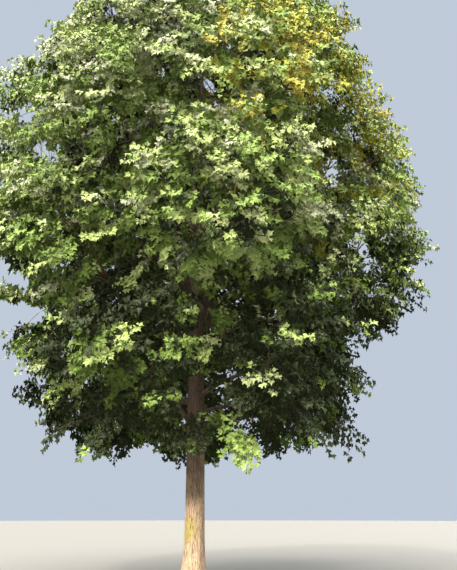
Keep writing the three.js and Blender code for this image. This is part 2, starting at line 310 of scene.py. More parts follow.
TIERS = [  # a ring of masses each, and of its limbs the start, the slopes in degrees and the end radii
    ("skirt", "bough", 5, 5.00, 2.08, -42, 272, (3.6, 4.5), 22, 2, (0.066, 0.034)),
    ("lower", "bough", 6, 7.80, 2.35, -76, 300, (4.8, 5.9), 52, 14, (0.084, 0.038)),
    ("middle", "bough", 6, 11.15, 2.55, -133, 300, (0.05, 0.17), 58, 30, (0.084, 0.038)),
    ("upper", "bough", 5, 14.05, 2.40, -114, 288, (0.34, 0.5), 60, 38, (0.060, 0.034)),
    ("top", "leader", 3, 16.80, 2.20, -144, 240, (6.0, 6.6), 70, 82, (0.116, 0.046)),
    ("tip", "leader", 1, 18.70, 1.80, 0, 0, (6.7, 6.7), 88, 88, (0.140, 0.040)),
]


def scatter(index, kind):
    """A fixed number from -1 to 1 for each pair of counters: the broken part of a steep sine."""
    wave = math.sin(index * 12.9898 + kind * 78.233) * 437.585
    return 2 * (wave - math.floor(wave)) - 1


def crown_radius(height):
    """Radius of the crown's outline: one super-ellipse above the waist and one below it."""
    above = height > CROWN_WAIST
    span = TREE_HEIGHT - CROWN_WAIST if above else CROWN_WAIST - CROWN_FOOT
    power = UPPER_FULLNESS if above else LOWER_FULLNESS
    share = min(1, abs(height - CROWN_WAIST) / span)
    return CROWN_RADIUS * (1 - share**power) ** (1 / power)


def list_masses():
    """Centres and sizes of all masses of leaves, tier by tier; each tier is a ring round the crown's axis."""
    masses = []
    for tier in (dict(zip(TIER_COLUMNS, row)) for row in TIERS):
        step = tier["span"] / max(1, tier["count"] - 1)
        ring = 1 if tier["count"] > 1 else 0
        for place in range(tier["count"]):
            index = len(masses) + 1
            azimuth = math.radians(tier["turn"] + step * (place + ring * TURN_SCATTER * scatter(index, 1)))
            radius = tier["radius"] * (1 + ring * RADIUS_SCATTER * scatter(index, 2))
            height = tier["height"] + ring * HEIGHT_SCATTER * radius * scatter(index, 3)
            out = ring * (crown_radius(height) - radius)
            centre = np.array([out * math.cos(azimuth), out * math.sin(azimuth), height])
            masses.append({"tier": tier, "name": f"{tier['name']}_{place + 1}", "index": index,
                           "azimuth": azimuth, "radius": radius, "centre": centre})
    return masses


def bezier(control, share):
    """Points of cubic curves: control is (..., 4, 3) and share (n), and the result is (..., n, 3)."""
    share = np.asarray(share)[:, None]
    weights = np.stack([(1 - share) ** 3, 3 * (1 - share) ** 2 * share, 3 * (1 - share) * share**2, share**3])
    return np.einsum("wni,...wj->...nj", weights, control)


def bezier_tangent(control, share):
    """Unit tangents of cubic curves, shaped as bezier's points."""
    share = np.asarray(share)[:, None]
    steps = np.diff(control, axis=-2)
    weights = np.stack([(1 - share) ** 2, 2 * (1 - share) * share, share**2])
    return unit(np.einsum("wni,...wj->...nj", weights, steps))


def unit(vectors):
    """Vectors over their length."""
    return vectors / np.linalg.norm(vectors, axis=-1, keepdims=True)


def mass_tree(mass):
    """The triangles of a mass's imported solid, in a tree that rays can be cast at."""
    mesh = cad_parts["foliage_" + mass["name"]].data
    points = [vertex.co for vertex in mesh.vertices]
    return BVHTree.FromPolygons(points, [tuple(face.vertices) for face in mesh.polygons])


def limb_start(mass):
    """Where a limb leaves the trunk, or for a foot under 1 the side leader nearest to it in azimuth."""
    low, high = mass["tier"]["foot"]
    level = low + (high - low) * (0.5 + 0.5 * scatter(mass["index"], 4))
    if level > 1:
        return trunk_centre(level)
    leaders = [each for each in masses if each["tier"]["name"] == "top"]
    nearest = max(leaders, key=lambda each: math.cos(each["azimuth"] - mass["azimuth"]))
    return bezier(nearest["curve"], [level])[0]


def limb_curve(mass, start):
    """A cubic curve from the start to the bottom of the limb's socket in its mass, which a ray from the
    mass's centre towards the start meets first. It leaves and arrives at the tier's slopes, and swings
    sideways by a small share of its length at either end."""
    back = unit(start - mass["centre"])
    end = np.array(mass["solid"].ray_cast(Vector(mass["centre"]), Vector(back))[0])
    level = unit((end - start) * (1, 1, 0))
    side = np.cross(UP, level)
    span = np.linalg.norm(end - start)
    controls = [start]
    for point, slope, reach, kind in ((start, "leave", span / 3, 9), (end, "arrive", -span / 3, 10)):
        angle = math.radians(mass["tier"][slope])
        along = level * math.cos(angle) + UP * math.sin(angle)
        swing = LIMB_SWEEP * span * scatter(mass["index"], kind)
        controls.append(point + along * reach + side * swing)
    return np.array([*controls, end])


def tube_rings(curves, share, angle, radius):
    """Rings of points round cubic curves, in the plane of two unit vectors square to each tangent. These
    are cross products, first with the one of the three axes that is most nearly square to the whole
    curve. A point is the first times the cosine plus the second times the sine, times the radius."""
    tangents = bezier_tangent(curves, share)
    axis = np.eye(3)[np.argmin(np.abs(tangents.mean(-2, keepdims=True)), axis=-1)]
    side = unit(np.cross(axis, tangents))
    over = np.cross(tangents, side)
    ring = side[..., None, :] * np.cos(angle)[:, None] + over[..., None, :] * np.sin(angle)[:, None]
    return bezier(curves, share)[..., None, :] + radius[..., None] * ring


def smooth_bark():
    """Younger maple bark on the limbs: thin, grey-brown, finely ridged along the limb, lighter where it has
    stretched and darker in the seams. It is smoother than the trunk's and faintly satin."""
    material, tree, shader = new_material("smooth limb bark", roughness=0.82)
    place = add_node(tree, "ShaderNodeTexCoord").outputs["Object"]
    relief = add_node(tree, "ShaderNodeAttribute", {"attribute_name": "relief"}).outputs["Fac"]
    patches = add_node(tree, "ShaderNodeTexNoise", Vector=place, Scale=1 / LIMB_PATCH_SIZE, Detail=5.0)
    bark = add_node(tree, "ShaderNodeValToRGB", Fac=patches.outputs["Fac"],
                    stops=[(0.3, "#3d322a"), (0.52, "#59493b"), (0.7, "#75654f")]).outputs[0]
    shown = add_node(tree, "ShaderNodeMix", {"data_type": "RGBA"},
                     i0=relief, i6=linear("#241b15"), i7=bark).outputs[2]
    skin = add_node(tree, "ShaderNodeTexNoise", Vector=place, Scale=1 / SKIN_GRAIN, Detail=4.0)
    bump = add_node(tree, "ShaderNodeBump", Height=skin.outputs["Fac"], Strength=0.5, Distance=0.002)
    tree.links.new(shown, shader.inputs["Base Color"])
    tree.links.new(bump.outputs[0], shader.inputs["Normal"])
    return material


limb_bark = smooth_bark()


def build_limb(mass):
    """A closed tube along the limb's curve. Its radius tapers evenly, swells to a collar at the foot, and
    is cut by fine furrows; the poles lie on the curve's ends."""
    tier, curve = mass["tier"], mass["curve"]
    sides = LIMB_SIDES[tier["limb"]]
    span = np.linalg.norm(np.diff(bezier(curve, np.linspace(0, 1, 20)), axis=0), axis=1).sum()
    rings = int(span / LIMB_RINGS[tier["limb"]])
    share = np.linspace(0, 1, rings)
    angle = np.arange(sides) * 2 * np.pi / sides
    foot, tip = tier["thick"]
    radius = (foot + (tip - foot) * share) * (1 + COLLAR_SWELL * np.exp(-share / COLLAR_LENGTH))
    rows = max(7, round(2 * np.pi * foot / LIMB_PLATE_WIDTH))
    along = span * share[:, None]
    relief = bark_plates(rows, angle, along, LIMB_PLATE_LENGTH, LIMB_SEED + mass["index"])
    reach = radius[:, None] * (1 - LIMB_FURROWS * (1 - relief))
    walls = tube_rings(curve, share, angle, reach).reshape(-1, 3)
    points = np.concatenate([curve[:1], walls, curve[3:]])
    name = f"{tier['limb']}_{mass['name']}"
    piece = solid_piece(name + "_bark", points, closed_tube_faces(rings, sides), [limb_bark])
    add_relief(piece, relief)
    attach(piece, "root")
    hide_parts(name)


masses = list_masses()
for mass in sorted(masses, key=lambda mass: mass["tier"]["limb"] == "bough"):  # the leaders come first
    mass["solid"] = mass_tree(mass)
    mass["curve"] = limb_curve(mass, limb_start(mass))
    build_limb(mass)


# Branches and twigs
# Inside its mass each limb forks into main branches, these into side branches, and these into stems that
# reach the crown's surface. A stem bears opposite twigs in one plane, like a feather, and drooping.
TREE_SEED = 11
OUTER_STEMS = 1.95  # candidates for each square metre of a mass's surface
INNER_STEMS = 0.80  # the same for the stems that end deeper in the mass
INSIDE_STEMS = 1.2  # the same for those that reach towards the leaders in the crown's middle
OUTER_REACH = (0.9, 0.99)  # shares of the way to the mass's surface at which the outer stems end
INNER_REACH = (0.5, 0.84)
INSIDE_REACH = (0.95, 1.25)
OUTER_KEPT = 0.05  # share of the outer stems that is kept where they face the inside of the crown
INNER_KEPT = 0.6  # the same of the inner stems
UNDERSIDE_KEPT = 0.62  # the same on the undersides of the lowest two tiers, which show from below
UNDERSIDE = 0.1  # upward part of a direction under which it counts as the underside
LEAST_REACH = 0.5  # of a stem's ray, so that none ends in the socket of the limb
SHOWN_DEPTHS = (0.55, 0.84)  # shares of the crown's outline between which all stems come to be kept
MIDDLE_DEPTH = 0.62  # of the outline, within which the crown's middle lies
TIP_SCATTER = 0.09
OPEN_SHARE = 0.50  # of the outer stems that the shaded lower crown lacks
OPEN_HEIGHTS = (8.5, 6.5)  # where it begins and is full
CLEFT_FILL = 0.7  # share of the way that stems in the upper crown's clefts grow on to the light
CLEFT_REACH = 0.93  # of the crown's outline, to which they grow
CLEFT_HEIGHTS = (7.5, 9.5)
CLEFT_DEPTHS = (0.62, 0.76)
LONG_STEMS = 0.16  # share of the outer stems that stand out of the mass as spires
SPIRE_SHARES = (0.04, 0.15)  # of the way from the mass's centre that they are longer
SPIRE_LIMIT = 0.97  # of the crown's outline, up to which spires keep their length
MAIN_BRANCHES = 5
SIDE_BRANCHES = 4
FORK_SHARE = 0.5  # of the way from a branch's foot to the middle of its group
MAIN_TURN = 0.4  # weight of a main branch's own direction where it leaves the limb
STEM_OUT = 0.6  # weight of the outward directions at a stem's end, against the scatter
STEM_SCATTER = 0.18
STEM_RISE = 0.10
GAP_PROBES = [0.75, 1.0]  # shares of a stem at which it has to be clear of the sky gaps
CLUMPING = {"skirt": 0.30, "lower": 0.32}  # share by which the stems of one side branch draw together
EVEN_CLUMPING = 0.14  # the same in the other tiers
TWIG_PLACES = np.array([0.58, 0.75, 0.9])  # shares of a stem where a pair of twigs leaves it
TWIG_LENGTH = 0.38
TWIG_LENGTHS = (0.7, 1.15)  # shares of it
TWIG_SLANT = math.radians(52)  # between twig and stem
TWIG_LIGHT = (0.8, 0.5, 0.3)  # outwards, upwards and scatter in the direction that a spray faces
TWIG_SCATTER = 0.16
TWIG_DROOP = (0.1, 0.5)
TWIG_SAG = (0.5, 1.6)  # shares of the droop that turn the span of a twig, and its end
MAIN_THICK = (0.030, 0.018)
SIDE_THICK = (0.016, 0.009)
STEM_THICK = (0.008, 0.004)
TWIG_THICK = (0.0035, 0.002)
FIRST_RING = 0.35  # place of a tube's first ring, as a share of the gap between two
SKY_GAPS = [  # pixels where the sky shows through the crown or into its edge, and the gaps' radii in metres
    (209, 85, 0.24),
    (218, 104, 0.15),
    (164, 72, 0.16),
    (165, 177, 0.15),
    (24, 116, 0.24),
    (38, 149, 0.22),
    (356, 38, 0.24),
    (111, 10, 0.20),
    (58, 2, 0.42),
    (20, 18, 0.46),
    (19, 50, 0.18),
    (38, 24, 0.22),
    (4, 269, 0.24),
    (20, 278, 0.22),
    (10, 314, 0.42),
    (33, 314, 0.36),
]
PAINTED_SHADE_HOLLOWS = [  # places on the crown's near side painted dark with the shade tint, as hollows in shade: ovals by middle pixel, half width and half height
    (140, 300, 53, 30),
    (330, 372, 55, 50),
    (252, 388, 50, 50),
]
PAINTED_SUNLIT_PATCHES = [  # the same for places low down painted lighter with fresh and pale tints, as sunlight that still reaches them
    (222, 298, 24, 13),
    (205, 336, 13, 12),
    (128, 334, 15, 16),
    (262, 376, 20, 22),
    (66, 312, 12, 16),
    (70, 390, 12, 12),
    (248, 458, 14, 20),
    (300, 330, 16, 10),
]
UPPER_SPRAY_SHARE = (0.92, 0.92, 1)  # of the place of each hanging spray, at which another hangs above it
UPPER_SPRAY_RISE = (0, 0, 0.55)
HANGING_TIPS = np.array([  # ends of the sprays that hang down below the crown's near edge
    (1.15, -3.00, 2.60),
    (0.85, -2.70, 2.90),
    (0.10, -2.60, 3.05),
    (-0.75, -2.80, 2.95),
    (-2.10, -3.20, 2.85),
    (-3.40, -2.60, 3.15),
    (2.60, -3.40, 2.95),
    (3.60, -2.30, 3.05),
])


def sight_line(x, y):
    """Unit direction from the eye through a pixel of the frame: its offsets from the frame's centre over
    the focal length, turned up by the tilt and then to the right by the yaw."""
    right = (x - FRAME_WIDTH / 2) / FOCAL_LENGTH
    rise = (FRAME_HEIGHT / 2 - y) / FOCAL_LENGTH
    ahead = math.cos(TILT) - math.sin(TILT) * rise
    up = math.sin(TILT) + math.cos(TILT) * rise
    across = math.cos(YAW) * right + math.sin(YAW) * ahead
    away = math.cos(YAW) * ahead - math.sin(YAW) * right
    return unit(np.array([across, away, up]))


def in_sky_gap(points):
    """Whether each point lies nearer to one of the lines of sight through the gaps than its radius."""
    inside = np.zeros(points.shape[:-1], bool)
    for x, y, radius in SKY_GAPS:
        offset = np.cross(points - EYE, sight_line(x, y))
        inside |= np.linalg.norm(offset, axis=-1) < radius
    return inside


def shows_in(ovals, points):
    """Whether each point is on the crown's near side and shows inside one of the frame's ovals."""
    away = points - EYE
    ahead = away[..., 0] * math.sin(YAW) + away[..., 1] * math.cos(YAW)
    right = away[..., 0] * math.cos(YAW) - away[..., 1] * math.sin(YAW)
    depth = ahead * math.cos(TILT) + away[..., 2] * math.sin(TILT)
    rise = away[..., 2] * math.cos(TILT) - ahead * math.sin(TILT)
    x = FRAME_WIDTH / 2 + FOCAL_LENGTH * right / depth
    y = FRAME_HEIGHT / 2 - FOCAL_LENGTH * rise / depth
    inside = np.zeros(points.shape[:-1], bool)
    for middle_x, middle_y, half_width, half_height in ovals:
        inside |= np.hypot((x - middle_x) / half_width, (y - middle_y) / half_height) < 1
    return inside & (points[..., 1] < 0)


def outline_share(points):
    """1 on the crown's outline and less inside it, by the outline's own super-ellipses."""
    above = points[..., 2] > CROWN_WAIST
    span = np.where(above, TREE_HEIGHT - CROWN_WAIST, CROWN_WAIST - CROWN_FOOT)
    power = np.where(above, UPPER_FULLNESS, LOWER_FULLNESS)
    upright = np.abs(points[..., 2] - CROWN_WAIST) / span
    level = np.hypot(points[..., 0], points[..., 1]) / CROWN_RADIUS
    return (upright**power + level**power) ** (1 / power)


def smoothstep(low, high, value):
    """0 below low, 1 above high, and a smooth rise between them."""
    share = np.clip((value - low) / (high - low), 0, 1)
    return share * share * (3 - 2 * share)


def stem_tips(mass, rng, per_area, reaches, kept, outermost=False):
    """Ends of a mass's stems. Directions are spread evenly over the sphere by the golden angle and jittered,
    and a ray in each finds the mass's surface; a tip lies between two shares of the way to it, or beyond
    it at the end of a spire, which is pulled back near the crown's outline. Where the mass faces the inside
    of the crown only a share is kept, and more on the undersides. Only outermost stems have spires, and
    grow on to the light in the upper crown's clefts."""
    count = int(per_area * 4 * np.pi * mass["radius"] ** 2)
    step = np.arange(count) + 0.5
    polar = np.arccos(1 - 2 * step / count)
    turn = step * np.pi * (1 + 5**0.5) + rng.uniform(0, 2 * np.pi)
    heading = np.stack([np.sin(polar) * np.cos(turn), np.sin(polar) * np.sin(turn), np.cos(polar)], -1)
    heading = unit(heading + rng.normal(0, TIP_SCATTER, heading.shape))
    centre = Vector(mass["centre"])
    hits = [mass["solid"].ray_cast(centre, Vector(ray)) for ray in heading]
    reach = np.array([hit[3] if hit[0] is not None else 0.0 for hit in hits])
    share = rng.uniform(*reaches, count)
    share += (rng.random(count) < outermost * LONG_STEMS) * rng.uniform(*SPIRE_SHARES, count)
    tips = mass["centre"] + heading * (reach * share)[:, None]
    over = (outline_share(tips) / SPIRE_LIMIT).clip(1, None)[:, None]
    tips = mass["centre"] + (tips - mass["centre"]) / np.where(share[:, None] > reaches[1], over**2, 1)
    depth = outline_share(tips)
    shown = kept + (1 - kept) * smoothstep(*SHOWN_DEPTHS, depth)
    fill = CLEFT_FILL * smoothstep(*CLEFT_HEIGHTS, tips[:, 2]) * smoothstep(*CLEFT_DEPTHS, depth)
    growth = 1 + fill * (CLEFT_REACH / depth - 1).clip(0) * outermost
    middle = UP * CROWN_WAIST
    tips = middle + (tips - middle) * growth[:, None]
    low = mass["tier"]["name"] in ("skirt", "lower")
    shown = np.maximum(shown, np.where(low & (heading[:, 2] < UNDERSIDE), UNDERSIDE_KEPT, 0.0))
    return tips[(rng.random(count) < shown) & (reach > LEAST_REACH) & ~in_sky_gap(tips)]


def gather(points, groups):
    """The group of each point, by nearness: seeds are found one after the other as the point farthest from
    those before, and four rounds move each seed to the mean of its group."""
    groups = min(groups, len(points))
    seeds = [points[0]]
    while len(seeds) < groups:
        gaps = np.linalg.norm(points[:, None] - np.array(seeds), axis=-1).min(1)
        seeds.append(points[gaps.argmax()])
    seeds = np.array(seeds)
    for _ in range(4):
        group = np.linalg.norm(points[:, None] - seeds, axis=-1).argmin(1)
        seeds = np.array([points[group == g].mean(0) if (group == g).any() else seeds[g]
                          for g in range(groups)])
    return group


def bend(start, end, leaving, arriving, rise=0.0):
    """Control points of curves that leave the start and reach the end in the given unit directions, each
    handle a third of the span long, with the second handle raised by a share of the span."""
    span = np.linalg.norm(end - start, axis=-1, keepdims=True)
    second = end - arriving * span / 3 + UP * rise * span
    return np.stack([start, start + leaving * span / 3, second, end], axis=-2)


def outwards(points):
    """Level unit directions away from the crown's axis."""
    return unit(points * (1, 1, 0) + 1e-6)


def grow_branches(mass, rng):
    """Control points of a mass's main branches, side branches and stems. The stems' tips are gathered into
    groups of groups. A branch goes half of the way from its foot to the middle of its group, and there it
    forks into the branches of the smaller groups."""
    outer = stem_tips(mass, rng, OUTER_STEMS, OUTER_REACH, OUTER_KEPT, outermost=True)
    outer = outer[rng.random(len(outer)) > OPEN_SHARE * smoothstep(*OPEN_HEIGHTS, outer[:, 2])]
    inner = stem_tips(mass, rng, INNER_STEMS, INNER_REACH, INNER_KEPT)
    if mass["tier"]["name"] in ("skirt", "lower", "middle"):
        inside = stem_tips(mass, rng, INSIDE_STEMS, INSIDE_REACH, kept=1.0)
        inner = np.concatenate([inner, inside[outline_share(inside) < MIDDLE_DEPTH]])
    nearest = np.linalg.norm(HANGING_TIPS[:, None] - [each["centre"] for each in masses], axis=-1).argmin(1)
    hanging = HANGING_TIPS[nearest == mass["index"] - 1]
    hanging = np.concatenate([hanging, hanging * UPPER_SPRAY_SHARE + UPPER_SPRAY_RISE])
    tips = np.concatenate([outer, hanging, inner])
    is_outer = np.arange(len(tips)) < len(outer) + len(hanging)
    foot = mass["curve"][3]
    heading = bezier_tangent(mass["curve"], [1.0])[0]
    mains, sides, stems, stems_outer = [], [], [], []
    main_group = gather(tips, MAIN_BRANCHES)
    for main in np.unique(main_group):
        held = tips[main_group == main]
        held_outer = is_outer[main_group == main]
        fork = foot + FORK_SHARE * (held.mean(0) - foot)
        ahead = unit(fork - foot)
        mains.append(bend(foot, fork, unit(heading + MAIN_TURN * ahead), ahead))
        side_group = gather(held, SIDE_BRANCHES)
        for side in np.unique(side_group):
            own = held[side_group == side]
            stems_outer.append(held_outer[side_group == side])
            middle = own.mean(0)
            own = own + CLUMPING.get(mass["tier"]["name"], EVEN_CLUMPING) * (middle - own)
            spread = fork + FORK_SHARE * (middle - fork)
            onward = unit(spread - fork)
            sides.append(bend(fork, spread, unit(ahead + onward), onward))
            outward = STEM_OUT * unit(own - mass["centre"]) + STEM_OUT * outwards(own)
            arriving = unit(outward + rng.normal(0, STEM_SCATTER, own.shape))
            starts = np.broadcast_to(spread, own.shape)
            stems.append(bend(starts, own, unit(unit(own - spread) + onward), arriving, STEM_RISE))
    return np.array(mains), np.array(sides), np.concatenate(stems), np.concatenate(stems_outer)


def towards_light(points, out, up, spread, rng):
    """Unit directions between outwards and upwards, by a share of each and a random part."""
    return unit(out * outwards(points) + up * UP + rng.normal(0, spread, points.shape))


def grow_twigs(stems, rng):
    """Control points of the twigs, as (stems, twigs of a stem, 4, 3): at each place along a stem one to
    either side, slanted forwards in the plane square to the light, and one that carries the stem's end on.
    All droop."""
    points = bezier(stems, TWIG_PLACES)
    ahead = bezier_tangent(stems, TWIG_PLACES)
    across = unit(np.cross(ahead, towards_light(points, *TWIG_LIGHT, rng)))
    forwards = ahead * math.cos(TWIG_SLANT)
    aside = across * math.sin(TWIG_SLANT)
    start = np.concatenate([points, points, stems[:, 3:]], axis=1)
    heading = np.concatenate([forwards - aside, forwards + aside, bezier_tangent(stems, [1.0])], axis=1)
    heading = unit(heading + rng.normal(0, TWIG_SCATTER, heading.shape))
    length = TWIG_LENGTH * rng.uniform(*TWIG_LENGTHS, (*start.shape[:2], 1))
    droop = -UP * rng.uniform(*TWIG_DROOP, (*start.shape[:2], 1))
    end = start + unit(heading + TWIG_SAG[0] * droop) * length
    return bend(start, end, heading, unit(heading + TWIG_SAG[1] * droop))


def closed_tubes(controls, thick, sides, rings):
    """Points and triangles of closed tapering tubes along cubic curves, all in one array: between the two
    poles each tube has evenly spaced rings, whose radius falls evenly from the foot to the tip."""
    share = (np.arange(rings) + FIRST_RING) / rings
    radius = thick[0] + (thick[1] - thick[0]) * share
    angle = np.arange(sides) * 2 * np.pi / sides
    walls = tube_rings(controls, share, angle, radius[:, None]).reshape(len(controls), -1, 3)
    points = np.concatenate([controls[:, :1], walls, controls[:, 3:]], axis=1)
    offsets = np.arange(len(controls))[:, None, None] * points.shape[1]
    faces = closed_tube_faces(rings, sides) + offsets
    return points.reshape(-1, 3), faces.reshape(-1, 3)


def join_parts(parts):
    """Points and faces of several parts as one."""
    shifts = np.cumsum([0] + [len(points) for points, _ in parts[:-1]])
    points = np.concatenate([points for points, _ in parts])
    return points, np.concatenate([faces + shift for (_, faces), shift in zip(parts, shifts)])


# This year's and last year's wood: smooth, reddish brown and a little glossy, so that a twig in the sun
# shows as a thin bright line.
twig_bark = new_material("red-brown twig bark", "#453324", roughness=0.6)[0]


def build_branches(mass, rng):
    """The woody piece of a mass. Returns the control points of its twigs, the number of the stem that
    each stands on, and whether that is an outer stem. Stems and twigs that would close a sky gap are
    left off."""
    mains, sides, stems, stem_outer = grow_branches(mass, rng)
    clear = ~in_sky_gap(bezier(stems, GAP_PROBES)).any(1)
    stems, stem_outer = stems[clear], stem_outer[clear]
    twigs = grow_twigs(stems, rng)
    stem_number = np.broadcast_to(np.arange(len(stems))[:, None], twigs.shape[:2])
    open_sky = in_sky_gap(twigs[:, :, 3])
    twigs, stem_number = twigs[~open_sky], stem_number[~open_sky]
    parts = [
        closed_tubes(mains, MAIN_THICK, sides=7, rings=7),
        closed_tubes(sides, SIDE_THICK, sides=5, rings=5),
        closed_tubes(stems, STEM_THICK, sides=3, rings=4),
        closed_tubes(twigs, TWIG_THICK, sides=3, rings=1),
    ]
    piece = solid_piece("branches_" + mass["name"], *join_parts(parts), [twig_bark])
    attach(piece, "root")
    return twigs, stem_number, stem_outer


# Leaves
# Each twig bears four opposite pairs of leaves and one at its end, on stalks. A blade has three pointed
# lobes over a square base, is folded a little along its middle and hangs outwards, turned to the light.
LEAF_PLACES = np.array([0.25, 0.25, 0.5, 0.5, 0.74, 0.74, 0.95, 0.95, 1.0])  # shares of a twig
LEAF_SENSES = np.array([-1, 1] * 4 + [0])  # side of the twig that each leaf stands on
STALK_LENGTH = 0.050
STALK_LENGTHS = (0.6, 1.2)  # shares of it
STALK_WIDTH = 0.005
STALK_SCATTER = 0.2
STALK_AHEAD = 1.1  # weight of the twig's direction in that of a stalk
STALK_ASIDE = 0.45  # by which it is less for the leaves at the sides
LEAF_LIGHT = (0.85, 0.4, 0.5)  # outwards, upwards and scatter in the direction that a leaf faces
LEAF_DROOP = (0.15, 0.75)
LEAF_GLOSS = 0.2
BLADE_FOLD = 0.34  # rise of a blade's edge above its midrib
BLADE_SINK = 0.24  # of its tip
OUTER_LEAF = 0.110  # length of a blade
INNER_LEAF = 0.170  # larger than life, as fewer fill the inside of the crown
LEAF_LENGTHS = (0.74, 1.18)  # shares of these
OWN_TINTS = 0.28  # share of the sprays that have a tint of their own
OUTER_LOBES = [(0.05, 0.36), (0.50, 0.62), (0.56, 0.24)]  # one half of the blade's outline
INNER_LOBES = [(0.30, 0.62), (0.52, 0.30)]  # the same where the leaves are only seen in the shade
LEAF_TINTS = [  # name, sRGB colour, roughness and how common the tint is
    # the darkest tint is painted shade low down and in the hollows, and inside the crown both real shade
    # leaves and painted shade
    ("painted shade leaf", "#1f290e", 0.55, 0.04),
    ("deep green leaf", "#506328", 0.55, 0.14),
    ("mid green leaf", "#718842", 0.55, 0.29),
    ("fresh green leaf", "#8a9b5a", 0.55, 0.24),
    ("yellow-green leaf", "#939638", 0.55, 0.0),
    ("pale green leaf", "#939e6c", 0.50, 0.17),
    ("silvery leaf", "#939a7a", 0.45, 0.06),
    ("golden leaf", "#969039", 0.55, 0.0),
]
PAINTED_SHADE_TINT, DEEP, MID, FRESH, YELLOW_GREEN, PALE, SILVERY, GOLDEN = range(len(LEAF_TINTS))
RIGHT_PART = ((-0.5, 4.5), (7.0, 11.0))  # x and z over which this part of the crown sets in
GOLDEN_PART = ((-0.5, 2.3), (8.8, 12.0))
# where pale and silvery sprays stand both for the leaves' pale undersides and for painted glints of the sun
UPPER_LEFT_PALE_AND_GLINT_PART = ((1.5, -3.0), (8.0, 12.5))
# where the tints are painted dark as shade: towards the lower right, and low down
LOW_RIGHT_PAINTED_SHADE_PART = ((0.3, 3.3), (8.4, 5.6))
LOW_PAINTED_SHADE_HEIGHTS = (7.0, 4.8)
INNER_SHADE_FADE_HEIGHTS = (6.5, 9.0)  # over which the painted shade inside the crown gives way to lighter tints


def blade_outline(lobes):
    """The blade's points and triangles: the foot of the midrib, one half out to the tip, and the other half
    back. The lobes' points are shares of the length, along the midrib and out from it. A point rises with
    its distance from the midrib, and sinks towards the tip with the square of its place. All triangles
    meet at the foot."""
    half = np.array(lobes)
    flat = np.concatenate([[(0, 0)], half, [(1, 0)], half[::-1] * (1, -1)])
    rise = BLADE_FOLD * np.abs(flat[:, 1]) - BLADE_SINK * flat[:, 0] ** 2
    corner = np.arange(1, len(flat) - 1)
    return np.column_stack([flat, rise]), np.stack([0 * corner, corner + 1, corner], -1)


def grow_leaves(twigs, lobes, size, rng):
    """Points and triangles of all leaves on the twigs, each a stalk and a blade. The stalk leaves the twig
    slanted to its side. The blade goes on from it and droops, and its face is turned between outwards and
    upwards, with some scatter."""
    outline, fan = blade_outline(lobes)
    ahead = bezier_tangent(twigs, LEAF_PLACES)
    foot = bezier(twigs, LEAF_PLACES)
    light = towards_light(foot, *LEAF_LIGHT, rng)
    across = unit(np.cross(ahead, light))
    sense = LEAF_SENSES[:, None]
    slant = ahead * (STALK_AHEAD - STALK_ASIDE * np.abs(sense)) + sense * across
    slant = unit(slant + rng.normal(0, STALK_SCATTER, foot.shape))
    stalk_end = foot + slant * STALK_LENGTH * rng.uniform(*STALK_LENGTHS, (*foot.shape[:2], 1))
    along = unit(slant - UP * rng.uniform(*LEAF_DROOP, (*foot.shape[:2], 1)))
    normal = unit(light - (light * along).sum(-1, keepdims=True) * along)
    side = np.cross(normal, along)
    length = size * rng.uniform(*LEAF_LENGTHS, foot.shape[:2])
    axes = np.stack([along, side, normal], axis=-2)[..., None, :, :]
    blade = stalk_end[..., None, :] + length[..., None, None] * (outline[:, :, None] * axes).sum(-2)
    edge = stalk_end + side * STALK_WIDTH
    points = np.concatenate([foot[..., None, :], edge[..., None, :], blade], axis=-2)
    faces = np.concatenate([[(0, 1, 2)], fan + 2])
    leaves = points.reshape(-1, len(outline) + 2, 3)
    offsets = np.arange(len(leaves))[:, None, None] * leaves.shape[1]
    return leaves.reshape(-1, 3), (faces + offsets).reshape(-1, 3)


def in_part(part, tips):
    """How far each tip is in a part of the crown: the product of two smooth steps, across and upwards."""
    return smoothstep(*part[0], tips[:, 0]) * smoothstep(*part[1], tips[:, 2])


